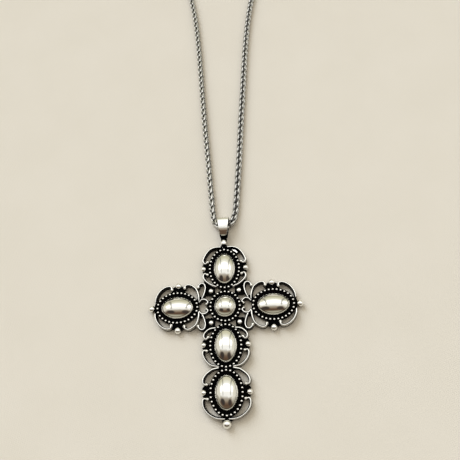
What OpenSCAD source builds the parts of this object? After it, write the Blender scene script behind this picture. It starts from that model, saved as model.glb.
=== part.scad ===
// Cross necklace: an openwork cast cross set with six domes, hung by a jump
// ring and a tapered bail on a fine wheat chain with a barrel clasp.
// The cross lies flat on its back, long axis along +Y, front towards +Z.
// All sizes in millimetres.

/* [Casting] */
// Height of the back plate that carries the bead rims
plate_t = 1.4; // [1.2:0.1:1.6]
// Height of the scroll wires above the back
scroll_h = 2.3; // [2.1:0.1:2.6]
// Width of a scroll wire at its foot
scroll_w = 0.9; // [0.8:0.05:1.0]
// Width of a scroll wire at its crown
crown_w = 0.6; // [0.5:0.05:0.7]
// Radius of the round end of a scroll
curl_r = 0.5; // [0.45:0.05:0.55]

/* [Bead rims] */
// Half width of an oval unit to the middle of its bead rim
oval_a = 4.7; // [4.6:0.05:4.8]
// Half length of an oval unit to the middle of its bead rim
oval_b = 6.3; // [6.2:0.05:6.4]
// Radius of the centre unit to the middle of its bead rim
centre_r = 4.6; // [4.5:0.05:4.7]
// Diameter of a bead in the rim
bead_d = 0.9; // [0.8:0.05:1.0]
// Height of the bead rim above the back
rim_h = 1.9; // [1.8:0.05:2.0]

/* [Domes] */
// Half width of the bezel, outside
bezel_a = 3.45; // [3.4:0.05:3.5]
// Half length of an oval bezel, outside
bezel_b = 5.05; // [5.0:0.05:5.1]
// Thickness of the bezel wall
bezel_t = 0.2; // [0.2:0.05:0.3]
// Height of the bezel above the back
bezel_h = 2.2; // [2.1:0.05:2.3]
// Rise of a dome above its seat
dome_h = 2.3; // [2.1:0.1:2.5]
// Gap between a dome and its bezel and seat
gap = 0.06; // [0.05:0.01:0.08]

/* [Balls] */
// Diameter of the balls beside the upright units
side_ball_d = 1.8; // [1.7:0.1:1.9]
// Diameter of the balls on the arms
arm_ball_d = 2.1; // [2.0:0.1:2.2]
// Diameter of the ball at the foot
foot_ball_d = 2.6; // [2.5:0.1:2.7]
// Diameter of the studs round the centre unit
stud_d = 1.4; // [1.3:0.1:1.5]

/* [Bail and ring] */
// Wire diameter of the jump ring
ring_wire = 0.9; // [0.85:0.05:0.9]
// Radius of the jump ring to the middle of its wire
ring_r = 1.1; // [1.1:0.02:1.14]
// Half width of the knuckle at the top of the jump ring
knuckle = 0.8; // [0.7:0.05:0.85]
// Width of the bail where it is widest
bail_w = 3.8; // [3.7:0.1:3.9]

/* [Chain] */
// Diameter over the chain's links
chain_d = 1.9; // [1.8:0.1:2.0]
// Length of the barrel clasp
clasp_l = 11; // [10:0.5:12]
// Diameter of the barrel clasp
clasp_d = 3.0; // [2.9:0.1:3.2]

/* [Hidden] */

// The drawing's zero is the middle of the centre unit. The whole necklace is
// moved so that its own origin is under the middle of its box.
shift = [-0.4, -99.7, 0];

// Middles of the six units: [x, y]
top_at = [0, 12.2];
centre_at = [0, 0];
lower_at = [0, -12.0];
bottom_at = [0, -25.5];
arm_x = 15.0;

// Scroll wires of the right half. Each is a run of points [x, y] that the
// wire passes through; the last one is the middle of its round end.
top_upper = [[0.6, 19.2], [2, 19.2], [3, 19.1], [4, 18.8], [5, 18.1], [5.8, 17.1],
             [6.5, 15.8], [6.8, 14.8], [6.5, 14.0], [6, 13.8], [5.4, 14.3]];
top_lower = [[2.6, 6.1], [4, 6.6], [5, 7.2], [6, 8.1], [6.6, 9.0], [6.7, 9.7],
             [6.3, 10.4], [5.5, 10.1]];
lower_upper = [[3, -6.9], [4.5, -7.1], [5.5, -7.6], [6.3, -8.4], [6.6, -9.2],
               [6.4, -9.9], [5.9, -10.2], [5.3, -9.6]];
lower_lower = [[2.2, -18.3], [4, -18.0], [5, -17.5], [6, -16.5], [6.6, -15.5],
               [6.9, -14.4], [6.6, -13.6], [5.8, -13.7]];
bottom_upper = [[2.2, -18.7], [4, -19.1], [5, -19.7], [6, -20.5], [6.7, -21.5],
                [6.9, -22.5], [6.6, -23.2], [5.8, -23.3]];
bottom_lower = [[0.6, -32.8], [2.2, -32.7], [3.5, -32.4], [5, -31.6], [6.2, -30.4],
                [6.8, -29.2], [6.9, -28.0], [6.6, -27.3], [5.6, -27.4]];
// Scrolls of the right arm's upper half, measured from the arm's middle line
arm_inner = [[8.2, 1.8], [8.3, 3.2], [8.6, 4.5], [9.2, 5.7], [10.3, 6.6],
             [11.4, 7.0], [12.3, 6.8], [12.7, 6.0]];
arm_outer = [[21.9, 1.8], [21.7, 3.2], [21.1, 4.5], [20.2, 5.6], [19, 6.4],
             [17.8, 6.7], [17, 6.4], [16.8, 5.6]];
wing = [[7.2, 2.4], [6.7, 3.4], [6.3, 4.6], [6.1, 5.8], [6.4, 6.9], [7.2, 7.3],
        [8, 6.9], [8.4, 6.1]];
heart = [[8.1, 1.4], [7.4, 2.1], [6.6, 2.3], [5.8, 2], [5.3, 1.3], [5.8, 0.8]];

// Lands of plain plate between the wires, right half: runs of corners
side_land = [[4.6, -1.7], [6.6, -1.7], [7.2, -0.6], [7.3, 1.0], [6.7, 2.0], [4.6, 2.2]];
stud_land = [[3.0, 3.9], [3.7, 3.5], [6.6, 3.6], [6.1, 5.5], [6.7, 7.6],
             [6.6, 8.6], [3.0, 6.7], [3.3, 5.4]];
wing_foot = [[6.9, 2.4], [8.0, 0.9], [8.9, 0.9], [8.9, 2.5], [8.3, 3.4], [7.6, 3.3], [7.1, 3.1]];
heart_land = [[4.8, -2.0], [5.5, -2.0], [5.5, 2.0], [4.8, 2.0]];
arm_land = [[12.6, 3.8], [17, 3.8], [16.9, 6.1], [16.0, 7.0], [13.5, 7.0], [12.7, 6.2]];
end_land = [[20.9, -2], [22.2, -1.6], [22.4, 0], [22.2, 1.6], [20.9, 2]];
head_web = [[1.8, 18.3], [1.9, 19.0], [3.0, 19.0], [4.1, 18.6], [4.95, 17.95], [4.2, 17.1],
            [3.7, 16.6], [2.6, 17.4]];

function last(v) = v[len(v) - 1];

// Smooth curve through a run of points, n steps to each gap. At its ends the
// curve goes on in a straight line.
function blend4(a, b, c, d, t) = 0.5 * ((2 * b) + (c - a) * t
    + (2 * a - 5 * b + 4 * c - d) * t * t + (3 * b - a - 3 * c + d) * t * t * t);
function smooth(p, n) = let (m = len(p) - 1) concat(
    [for (i = [0 : m - 1]) for (k = [0 : n - 1])
        blend4(i > 0 ? p[i - 1] : 2 * p[0] - p[1], p[i], p[i + 1],
               i < m - 1 ? p[i + 2] : 2 * p[m] - p[m - 1], k / n)],
    [p[m]]);
function ahead(c, i) = let (d = c[min(i + 1, len(c) - 1)] - c[max(i - 1, 0)]) d / norm(d);

// Outline of a wire of width w laid along the curve c
function wire_outline(c, w) = concat(
    [for (i = [0 : len(c) - 1]) let (d = ahead(c, i)) c[i] + [-d[1], d[0]] * w / 2],
    [for (i = [len(c) - 1 : -1 : 0]) let (d = ahead(c, i)) c[i] - [-d[1], d[0]] * w / 2]);
module wire(p, w, curl, n) {
    c = smooth(p, n);
    polygon(wire_outline(c, w));
    translate(last(c)) circle(r = curl, $fn = 12);
}
module both() { children(); mirror([1, 0, 0]) children(); }
module up_down() { children(); mirror([0, 1, 0]) children(); }

// All scroll wires of the cross, drawn flat
module scrolls(w, curl, n) both() {
    translate([0, 0.12]) {
        for (p = [top_upper, top_lower, lower_upper, lower_lower, bottom_upper,
                  bottom_lower]) wire(p, w, curl, n);
        up_down() for (p = [arm_inner, arm_outer, wing]) wire(p, w, curl, n);
    }
    up_down() wire(heart, w, curl - 0.1, n);
}
function oval(a, b, n = 28) = [for (i = [0 : n - 1]) [a * cos(360 * i / n), b * sin(360 * i / n)]];
// The six units: [x, y, form], where form is 0 for an upright oval, 1 for the
// round centre and 2 for an oval that lies along an arm
UNITS = [[top_at[0], top_at[1], 0], [centre_at[0], centre_at[1], 1],
         [lower_at[0], lower_at[1], 0], [bottom_at[0], bottom_at[1], 0],
         [-arm_x, 0, 2], [arm_x, 0, 2]];
function unit_a(u, a, b, r) = u[2] == 0 ? a : u[2] == 1 ? r : b;
function unit_b(u, a, b, r) = u[2] == 0 ? b : u[2] == 1 ? r : a;
module unit_plate(u, grow, a = oval_a, b = oval_b, r = centre_r) {
    translate([u[0], u[1]])
        if (u[2] == 1) circle(r = r + grow, $fn = 48);
        else polygon(oval(unit_a(u, a, b, r) + grow, unit_b(u, a, b, r) + grow));
}
module rim_ring(u) difference() {
    unit_plate(u, bead_d / 2 - 0.05);
    unit_plate(u, 0.05 - bead_d / 2);
}
module bezel_ring(u) difference() {
    unit_plate(u, 0, bezel_a, bezel_b, bezel_a);
    unit_plate(u, -bezel_t, bezel_a, bezel_b, bezel_a);
}
// Everything that the back plate joins, drawn flat
module footprint() {
    for (u = UNITS) unit_plate(u, 0.55);
    scrolls(scroll_w, curl_r + 0.1, 1);
    both() {
        translate(top_at) polygon(side_land);
        translate(lower_at) polygon(side_land);
        translate(bottom_at) polygon(side_land);
        up_down() { polygon(stud_land); polygon(wing_foot); polygon(arm_land); }
        polygon(heart_land);
        polygon(end_land);
    }
    translate([0, -32.3]) square([3, 2], center = true);
    translate([0, 18.6]) square([2.4, 1.4], center = true);
    // webs where an upright unit stands close to the next one
    translate([0, 5.25]) square([2.6, 0.9], center = true);
    translate([0, -18.6]) square([5, 1.2], center = true);
    // small web left in the casting inside the head's right scroll
    polygon(head_web);
}

ball_z = 1.2;
// How far up the cross the side balls stand
side_ball_y = [12.4, -11.6, -25.3];
loop_at = [0, 19.5, 1.6];
loop_r = 0.8;
loop_wire = 0.54;
ring_at = [0, 20.6, 1.6];

module cross_frame() color("silver") translate(shift) difference() {
    union() {
        linear_extrude(height = plate_t) offset(delta = 0.01) footprint();
        translate([0, 0, 1.0]) linear_extrude(height = scroll_h - 1.0)
            offset(delta = 0.01) scrolls(crown_w, curl_r, 2);
        for (u = UNITS) {
            translate([0, 0, 1.1]) linear_extrude(height = rim_h - 1.1) rim_ring(u);
            translate([0, 0, 1.0]) linear_extrude(height = bezel_h - 1.0) bezel_ring(u);
        }
        // balls beside the upright units
        for (s = [-1, 1]) for (y = side_ball_y)
            translate([s * 6.75, y, ball_z]) sphere(d = side_ball_d, $fn = 32);
        // balls above, below and at the ends of the arms
        for (s = [-1, 1]) {
            for (t = [-1, 1]) translate([s * 14.8, t * 7.0, ball_z])
                sphere(d = arm_ball_d, $fn = 32);
            translate([s * 23.15, 0, ball_z]) sphere(d = arm_ball_d, $fn = 32);
        }
        translate([0, -34.0, 1.35]) sphere(d = foot_ball_d, $fn = 32);
        // studs round the centre unit
        for (s = [-1, 1]) for (t = [-1, 1]) translate([s * 4.45, t * 5.0, plate_t])
            sphere(d = stud_d, $fn = 32);
        // the loop at the head that takes the jump ring
        translate(loop_at) rotate_extrude($fn = 48) translate([loop_r, 0]) circle(d = loop_wire, $fn = 24);
        translate([0, 18.75, 1.1]) cube([1.6, 0.5, 1.0], center = true);
        // raised bar on the head's small web
        translate([3.5, 17.95, 1.2]) rotate(-33) cube([1.9, 0.5, 1.3], center = true);
    }
    translate([loop_at[0], loop_at[1], -1])
        cylinder(r = loop_r - loop_wire / 2, h = 6, $fn = 32);
}

// A dome: half an ellipsoid on a short straight girdle
module dome(u, a, b) color("gainsboro") translate(shift + [u[0], u[1], plate_t + gap])
    intersection() {
        scale([a, b, dome_h]) sphere(r = 1, $fn = 64);
        translate([-10, -10, 0]) cube([20, 20, 10]);
    }
dome_a = bezel_a - bezel_t - gap - 0.03;
dome_b = bezel_b - bezel_t - gap - 0.03;
module cab_top() dome(UNITS[0], dome_a, dome_b);
module cab_centre() dome(UNITS[1], dome_a, dome_a);
module cab_lower() dome(UNITS[2], dome_a, dome_b);
module cab_bottom() dome(UNITS[3], dome_a, dome_b);
module cab_left() dome(UNITS[4], dome_b, dome_a);
module cab_right() dome(UNITS[5], dome_b, dome_a);

// The ring stands upright; its wire broadens to a knuckle at its top
module jump_ring() color("silver") translate(shift + ring_at) {
    rotate([0, 90, 0]) rotate_extrude($fn = 64) translate([ring_r, 0])
        circle(d = ring_wire, $fn = 32);
    translate([0, 0, ring_r]) scale([knuckle, 0.9, ring_wire / 2 + 0.01]) sphere(r = 1, $fn = 32);
}

// Side view of the bail, [y, z]: its outer edge, then the room inside it
bail_outer = [[20.9, 1.4], [22.4, 1.35], [23.4, 0.5], [24.6, 0.05], [26, 0], [27.8, 0],
              [29.2, 0.4], [29.55, 1.4], [29.55, 2.8], [28.95, 3.9], [27.9, 4.6], [26.6, 4.75],
              [25.4, 4.5], [24.3, 3.9], [23.3, 3.0], [22.4, 1.9], [20.9, 1.8]];
bail_inner = [[23.1, 1.7], [24.2, 0.75], [25.2, 0.5], [26.2, 0.45], [27.7, 0.45],
              [28.85, 0.7], [29.12, 1.4], [29.12, 2.7], [28.6, 3.6], [27.7, 4.15], [26.6, 4.3],
              [25.6, 4.05], [24.6, 3.5], [23.8, 2.75]];
// Front view of the bail, right half: [x, y]
bail_front = [[0.5, 20.8], [0.8, 21.1], [0.95, 21.7], [0.95, 22.4], [1.2, 23],
              [bail_w / 2, 29.0], [bail_w / 2, 29.6]];
module bail() color("gainsboro") translate(shift) difference() {
    intersection() {
        translate([-3, 0, 0]) rotate([90, 0, 90]) linear_extrude(height = 6) difference() {
            offset(delta = 0.001) polygon(bail_outer);
            offset(delta = 0.001) polygon(bail_inner);
        }
        translate([0, 0, -1]) linear_extrude(height = 8)
            polygon(concat(bail_front, [for (i = [len(bail_front) - 1 : -1 : 0])
                [-bail_front[i][0], bail_front[i][1]]]));
    }
    translate([0, ring_at[1] + ring_r, -1]) cylinder(d = ring_wire + 0.16, h = 4, $fn = 32);
}

// Chain: points that it passes through, [x, y, z], from the clasp round by the
// bail and back to the clasp. It lies on the surface, and rises over the
// bail's back and into the clasp.
z0 = chain_d / 2;
right_side = [[3.6, 233.2, 1.5], [6.5, 233.1, 1.5], [13, 231.8, 1.1], [19.8, 228, z0], [25.5, 221.2, z0],
              [28.2, 211.5, z0], [28.6, 200, z0], [27.1, 187, z0], [24.2, 174, z0], [20.6, 160, z0],
              [17, 146, z0], [13.9, 132, z0], [11.6, 119, z0], [9.9, 105, z0], [8.8, 92, z0],
              [7.8, 79, z0], [6.8, 66, z0], [5.9, 53, z0], [5, 42, z0], [4.5, 36, z0],
              [4.1, 32.5, z0], [3.6, 30.2, 1.1], [2.8, 28.2, 1.5]];
left_side = [[-2.4, 27.6, 1.5], [-3.2, 29.4, 1.1], [-3.6, 32, z0], [-3.9, 35.5, z0],
             [-4.4, 42, z0], [-5.2, 53, z0],
             [-6.2, 66, z0], [-7.1, 79, z0], [-7.9, 92, z0], [-8.8, 105, z0], [-10.2, 119, z0],
             [-12.4, 132, z0], [-15.8, 146, z0], [-19.6, 160, z0], [-23.3, 174, z0],
             [-26.3, 187, z0], [-27.8, 200, z0], [-27.4, 211.5, z0], [-24.7, 221.2, z0],
             [-19, 228, z0], [-12.2, 231.8, 1.1], [-5.7, 233.1, 1.5], [-2.8, 233.2, 1.5]];
ROUTE = concat(right_side, [[1.5, 27.1, 1.6], [0.2, 26.8, 1.6], [-1.2, 26.9, 1.6]], left_side);
SIDES = 8;
function cross_dir(t) = let (s = cross(t, [0, 0, 1])) s / norm(s);
function ring_points(c, i) = let (t = ahead(c, i), s = cross_dir(t), u = cross(s, t))
    [for (k = [0 : SIDES - 1]) let (a = 360 * (k + 0.5) / SIDES)
        c[i] + (s * cos(a) + u * sin(a)) * chain_d / 2 / cos(180 / SIDES)];
function dense(p) = let (m = len(p) - 1) concat(
    [for (i = [0 : m - 1]) let (n = norm(p[i + 1] - p[i]) > 8 ? 2 : 1) for (k = [0 : n - 1])
        blend4(i > 0 ? p[i - 1] : 2 * p[0] - p[1], p[i], p[i + 1],
               i < m - 1 ? p[i + 2] : 2 * p[m] - p[m - 1], k / n)],
    [p[m]]);
module swept(c) {
    n = len(c);
    polyhedron(points = [for (i = [0 : n - 1]) each ring_points(c, i)],
        faces = concat([[for (k = [0 : SIDES - 1]) k]],
            [for (i = [0 : n - 2]) for (k = [0 : SIDES - 1]) let (j = (k + 1) % SIDES)
                [i * SIDES + j, i * SIDES + k, (i + 1) * SIDES + k, (i + 1) * SIDES + j]],
            [[for (k = [SIDES - 1 : -1 : 0]) (n - 1) * SIDES + k]]));
}
module chain() color("lightgray") translate(shift) swept(dense(ROUTE));

// Barrel clasp: a plain turned barrel with a blind bore in each end that
// takes the end of the chain
clasp_at = [0.4, 233.2, clasp_d / 2];
module clasp() color("silver") translate(shift + clasp_at) rotate([0, 90, 0]) difference() {
    cylinder(d = clasp_d, h = clasp_l, center = true, $fn = 48);
    for (s = [-1, 1]) translate([0, 0, s * clasp_l / 2])
        cylinder(d = chain_d + 0.4, h = 5, center = true, $fn = 32);
}

cross_frame();
cab_top();
cab_left();
cab_centre();
cab_right();
cab_lower();
cab_bottom();
jump_ring();
bail();
chain();
clasp();
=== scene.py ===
"""Looks of the cross necklace: casting, domes, bail, ring, wheat chain and clasp, on a plain pale floor."""
import math

import bmesh
import bpy
import numpy as np
from mathutils import Matrix, Vector


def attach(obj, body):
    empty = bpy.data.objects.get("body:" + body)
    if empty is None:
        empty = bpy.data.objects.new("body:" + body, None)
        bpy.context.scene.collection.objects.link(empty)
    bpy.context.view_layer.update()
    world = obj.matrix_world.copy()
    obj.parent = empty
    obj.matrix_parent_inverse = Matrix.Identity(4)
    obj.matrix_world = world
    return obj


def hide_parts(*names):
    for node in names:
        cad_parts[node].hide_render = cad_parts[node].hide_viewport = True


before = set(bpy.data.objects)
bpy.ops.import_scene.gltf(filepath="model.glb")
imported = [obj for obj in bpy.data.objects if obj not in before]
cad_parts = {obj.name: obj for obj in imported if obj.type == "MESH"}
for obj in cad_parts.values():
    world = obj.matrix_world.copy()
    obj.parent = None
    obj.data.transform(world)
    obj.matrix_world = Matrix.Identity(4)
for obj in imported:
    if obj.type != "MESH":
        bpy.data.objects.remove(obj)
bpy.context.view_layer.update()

scene = bpy.context.scene
MM = 0.001
SHIFT = np.array([-0.4, -99.7, 0.0])     # the drawing's zero is the middle of the centre unit

# ---------------------------------------------------------------- camera
# Fitted to the bead rims; in the frame of the part, in metres.
cam = bpy.data.objects.new("camera", bpy.data.cameras.new("camera"))
scene.collection.objects.link(cam)
RIGHT = Vector((0.9958244, -0.0207333, -0.0889036)).normalized()
UP = Vector((0.0526237, 0.9261531, 0.3734584))
UP = (UP - RIGHT * UP.dot(RIGHT)).normalized()
BACK = RIGHT.cross(UP)
CAM_AT = (np.array([13.936, -34.529, 148.47]) + SHIFT) * MM
cam.matrix_world = Matrix((
    (RIGHT.x, UP.x, BACK.x, CAM_AT[0]),
    (RIGHT.y, UP.y, BACK.y, CAM_AT[1]),
    (RIGHT.z, UP.z, BACK.z, CAM_AT[2]),
    (0, 0, 0, 1)))
cam.data.lens = 37.714
cam.data.sensor_width = 36.0
cam.data.clip_start = 0.005
cam.data.clip_end = 20.0
scene.camera = cam


# ---------------------------------------------------------------- shader helpers
class Graph:
    """Small helper that makes and links shader nodes."""

    def __init__(self, tree):
        self.t = tree
        tree.nodes.clear()

    def node(self, kind, **props):
        n = self.t.nodes.new(kind)
        for k, v in props.items():
            setattr(n, k, v)
        return n

    def put(self, socket, value):
        if isinstance(value, bpy.types.NodeSocket):
            self.t.links.new(value, socket)
        elif isinstance(value, (tuple, list)) and len(value) == 3 and len(socket.default_value) == 4:
            socket.default_value = (*value, 1.0)
        else:
            socket.default_value = value

    def math(self, op, a, b=0.0, c=0.0, clamp=False):
        n = self.node("ShaderNodeMath", operation=op, use_clamp=clamp)
        for i, v in enumerate((a, b, c)):
            self.put(n.inputs[i], v)
        return n.outputs[0]

    def smooth(self, v, lo, hi, a=0.0, b=1.0):
        n = self.node("ShaderNodeMapRange", interpolation_type="SMOOTHSTEP")
        for name, x in (("Value", v), ("From Min", lo), ("From Max", hi), ("To Min", a), ("To Max", b)):
            self.put(n.inputs[name], x)
        return n.outputs["Result"]

    def mix(self, fac, a, b):
        n = self.node("ShaderNodeMix", data_type="RGBA")
        self.put(n.inputs[0], fac)
        self.put(n.inputs[6], a)
        self.put(n.inputs[7], b)
        return n.outputs[2]

    def mixf(self, fac, a, b):
        n = self.node("ShaderNodeMix", data_type="FLOAT")
        self.put(n.inputs[0], fac)
        self.put(n.inputs[2], a)
        self.put(n.inputs[3], b)
        return n.outputs[0]

    def noise(self, scale, detail=2.0, rough=0.5, vector=None, distortion=0.0):
        n = self.node("ShaderNodeTexNoise")
        if vector is not None:
            self.put(n.inputs["Vector"], vector)
        n.inputs["Scale"].default_value = scale
        n.inputs["Detail"].default_value = detail
        n.inputs["Roughness"].default_value = rough
        n.inputs["Distortion"].default_value = distortion
        return n.outputs["Fac"]

    def bump(self, height, distance, strength=1.0, normal=None):
        n = self.node("ShaderNodeBump")
        n.inputs["Strength"].default_value = strength
        n.inputs["Distance"].default_value = distance
        self.put(n.inputs["Height"], height)
        if normal is not None:
            self.put(n.inputs["Normal"], normal)
        return n.outputs["Normal"]


def new_material(name):
    m = bpy.data.materials.new(name)
    m.use_nodes = True
    g = Graph(m.node_tree)
    out = g.node("ShaderNodeOutputMaterial")
    bsdf = g.node("ShaderNodeBsdfPrincipled")
    g.t.links.new(bsdf.outputs["BSDF"], out.inputs["Surface"])
    coord = g.node("ShaderNodeTexCoord").outputs["Object"]
    return m, g, bsdf, coord


# ---------------------------------------------------------------- studio: world and floor
# A broad bright window over the head and to the north, with thin bars, and a dim brown room low in the south.
WINDOW = 1.9


def build_world():
    world = bpy.data.worlds.new("studio")
    scene.world = world
    world.use_nodes = True
    g = Graph(world.node_tree)
    out = g.node("ShaderNodeOutputWorld")
    back = g.node("ShaderNodeBackground")
    g.t.links.new(back.outputs[0], out.inputs[0])
    way = g.node("ShaderNodeTexCoord").outputs["Generated"]
    sep = g.node("ShaderNodeSeparateXYZ")
    g.put(sep.inputs[0], way)
    x, y, z = sep.outputs
    tilt = g.math("MULTIPLY_ADD", g.math("ARCTAN2", y, z), 1.072 * 180 / math.pi, -1.6)   # about degrees, north of the zenith
    x = g.math("MULTIPLY", x, 1.058)
    south = g.math("MULTIPLY", tilt, -1.0)
    side = g.math("ABSOLUTE", x)

    def ramp(value, stops):
        n = g.node("ShaderNodeValToRGB")
        g.put(n.inputs[0], value)
        el = n.color_ramp.elements
        while len(el) < len(stops):
            el.new(0.5)
        for e, (q, c) in zip(el, stops):
            e.position, e.color = q, (*c, 1.0)
        return n.outputs[0]

    # north half: the window is brightest at its middle height and turns cream towards the horizon
    north = ramp(g.math("DIVIDE", tilt, 100.0), [
        (0.0, (0.99, 0.985, 0.95)), (0.40, (1.02, 1.015, 0.96)), (0.50, (0.93, 0.925, 0.83)), (0.60, (0.80, 0.78, 0.66)),
        (0.70, (0.68, 0.655, 0.485)), (0.85, (0.52, 0.505, 0.37)), (0.97, (0.38, 0.365, 0.27))])
    band = g.math("MULTIPLY", g.smooth(tilt, 0.0, 16.0), g.smooth(tilt, 47.0, 34.0))
    north = g.mix(band, north, (WINDOW, 0.99 * WINDOW, 0.94 * WINDOW))
    bar = g.math("SUBTRACT", 1.0, g.smooth(g.math("ABSOLUTE", g.math("SUBTRACT", g.math("ABSOLUTE", g.math("SUBTRACT", x, 0.04)), 0.62)), 0.03, 0.095))
    north = g.mix(g.math("MULTIPLY", bar, g.smooth(tilt, -20.0, -8.0, 0.0, 0.9)), north,
                  g.mix(g.smooth(tilt, 36.0, 70.0), (0.46, 0.45, 0.42), (0.30, 0.29, 0.235)))
    north = g.mix(g.smooth(side, 0.89, 0.97), north, (0.76, 0.73, 0.63))
    # south half
    dark = ramp(g.math("DIVIDE", south, 100.0), [
        (0.18, (0.64, 0.61, 0.55)), (0.28, (0.43, 0.385, 0.32)), (0.40, (0.31, 0.25, 0.185)), (0.50, (0.165, 0.112, 0.078)),
        (0.60, (0.105, 0.060, 0.036)), (0.68, (0.12, 0.078, 0.050)), (0.72, (0.27, 0.24, 0.18)), (0.77, (0.42, 0.40, 0.31)),
        (0.88, (0.50, 0.475, 0.38))])

    # two darker grey patches either side of the middle
    def patch(cx, ct, rx, rt):
        dx = g.math("DIVIDE", g.math("SUBTRACT", x, cx), rx)
        dt = g.math("DIVIDE", g.math("SUBTRACT", south, ct), rt)
        return g.smooth(g.math("ADD", g.math("MULTIPLY", dx, dx), g.math("MULTIPLY", dt, dt)), 1.0, 0.25)
    lobes = g.math("MAXIMUM", patch(-0.60, 47.0, 0.36, 22.0), g.math("MULTIPLY", patch(0.50, 49.0, 0.32, 20.0), 0.9))
    dark = g.mix(g.math("MULTIPLY", lobes, 0.95), dark, (0.040, 0.033, 0.030))
    rim = g.math("ADD", g.smooth(x, 0.67, 0.88), g.smooth(x, -0.83, -1.02))
    dark = g.mix(rim, dark, g.mix(g.smooth(south, 30.0, 66.0), (0.78, 0.75, 0.66), (0.36, 0.33, 0.26)))
    edge = g.math("SUBTRACT", south, g.smooth(x, 0.08, 0.36, 0.0, 6.0))
    colour = g.mix(g.smooth(edge, 10.0, 24.0), north, dark)
    # seen directly the room is a plain pale backdrop
    ray = g.node("ShaderNodeLightPath").outputs["Is Camera Ray"]
    colour = g.mix(ray, colour, (0.80, 0.77, 0.69))
    g.put(back.inputs["Color"], colour)
    back.inputs["Strength"].default_value = 1.0


build_world()

# a low, broad and soft light from the upper left, which the metals don't mirror
lamp = bpy.data.lights.new("soft_side_light", "SUN")
lamp.energy = 2.6
lamp.angle = math.radians(38)
lamp.color = (0.80, 0.92, 1.12)
lamp_ob = bpy.data.objects.new("soft_side_light", lamp)
lamp_ob.rotation_euler = Vector((0.42, -0.60, -0.52)).to_track_quat("-Z", "Y").to_euler()
lamp_ob.visible_glossy = False
scene.collection.objects.link(lamp_ob)


def build_floor():
    me = bpy.data.meshes.new("floor")
    s = 2.5
    me.from_pydata([(-s, -s, -0.00002), (s, -s, -0.00002), (s, s, -0.00002), (-s, s, -0.00002)], [], [(0, 1, 2, 3)])
    ob = bpy.data.objects.new("floor", me)
    scene.collection.objects.link(ob)
    m, g, bsdf, coord = new_material("floor_cloth")
    turn = g.node("ShaderNodeMapping")
    turn.inputs["Rotation"].default_value = (0, 0, math.radians(24))
    g.put(turn.inputs["Vector"], coord)
    sep = g.node("ShaderNodeSeparateXYZ")
    g.put(sep.inputs[0], turn.outputs[0])
    slub = g.noise(900, 2, 0.6, coord)
    wx = g.math("SINE", g.math("ADD", g.math("MULTIPLY", sep.outputs[0], 2 * math.pi / 0.00072), g.math("MULTIPLY", slub, 5.0)))
    wy = g.math("SINE", g.math("ADD", g.math("MULTIPLY", sep.outputs[1], 2 * math.pi / 0.00072), g.math("MULTIPLY", slub, 5.0)))
    weave = g.math("MULTIPLY_ADD", g.math("MULTIPLY", wx, wy), 0.5, 0.5)
    cloud = g.noise(45, 3, 0.55, coord)
    base = g.mix(cloud, (0.597, 0.538, 0.437), (0.641, 0.580, 0.483))
    base = g.mix(g.math("MULTIPLY", weave, 0.16), base, (0.485, 0.42, 0.335))
    g.put(bsdf.inputs["Base Color"], base)
    bsdf.inputs["Roughness"].default_value = 0.9
    bsdf.inputs["Specular IOR Level"].default_value = 0.15
    g.put(bsdf.inputs["Normal"], g.bump(weave, 0.00006, 0.35))
    me.materials.append(m)
    return ob


build_floor()


# ---------------------------------------------------------------- metals
def silver(name, base_lo, base_hi, rough_lo, rough_hi, dent=0.0, grain=0.0):
    """Polished silver: faint tone changes, wear that changes the gloss, and a fine uneven surface."""
    m, g, bsdf, coord = new_material(name)
    tone = g.noise(420, 3, 0.55, coord)
    wear = g.noise(1500, 4, 0.6, coord, 0.4)
    g.put(bsdf.inputs["Base Color"], g.mix(tone, base_lo, base_hi))
    bsdf.inputs["Metallic"].default_value = 1.0
    g.put(bsdf.inputs["Roughness"], g.smooth(wear, 0.3, 0.75, rough_lo, rough_hi))
    normal = None
    if dent:
        normal = g.bump(g.noise(300, 1, 0.4, coord), dent, 1.0)
    if grain:
        normal = g.bump(g.noise(5200, 3, 0.6, coord), grain, 1.0, normal)
    if normal is not None:
        g.put(bsdf.inputs["Normal"], normal)
    return m


mat_dome = silver("dome_metal", (0.90, 0.885, 0.83), (0.94, 0.93, 0.89), 0.03, 0.10, dent=0.000010, grain=0.0000004)
mat_bright = silver("bright_silver", (0.86, 0.85, 0.81), (0.93, 0.92, 0.89), 0.06, 0.16, dent=0.000004, grain=0.0000005)


def oxidised_and_shaded(name, silver_lo, silver_hi, rough_lo, rough_hi, attribute, oxide=(0.0022, 0.0021, 0.0021)):
    """Silver with black oxide and painted shade where the named attribute is low; the edge of the black is rubbed and
    uneven.
    """
    m, g, bsdf, coord = new_material(name)
    att = g.node("ShaderNodeAttribute", attribute_type="GEOMETRY", attribute_name=attribute).outputs["Fac"]
    edge = g.noise(2600, 3, 0.65, coord)
    mask = g.smooth(g.math("ADD", att, g.math("MULTIPLY_ADD", edge, 0.36, -0.18)), 0.36, 0.62)
    tone = g.noise(700, 3, 0.55, coord)
    bright = g.mix(tone, silver_lo, silver_hi)
    g.put(bsdf.inputs["Base Color"], g.mix(mask, oxide, bright))
    bsdf.inputs["Metallic"].default_value = 1.0
    wear = g.smooth(g.noise(1800, 4, 0.6, coord), 0.3, 0.75, rough_lo, rough_hi)
    g.put(bsdf.inputs["Roughness"], g.mixf(mask, 0.5, wear))
    rough = g.noise(6500, 3, 0.65, coord)
    g.put(bsdf.inputs["Normal"], g.bump(rough, 0.0000020, 1.0))
    return m


mat_cast = oxidised_and_shaded("oxidised_silver", (0.88, 0.87, 0.83), (0.95, 0.94, 0.91), 0.07, 0.18, "polish")
mat_bail = oxidised_and_shaded("bail_silver", (0.86, 0.85, 0.81), (0.93, 0.92, 0.89), 0.06, 0.16, "polish")
mat_chain = oxidised_and_shaded("chain_silver", (0.60, 0.595, 0.575), (0.78, 0.775, 0.76), 0.08, 0.18, "polish", (0.045, 0.043, 0.040))


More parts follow.
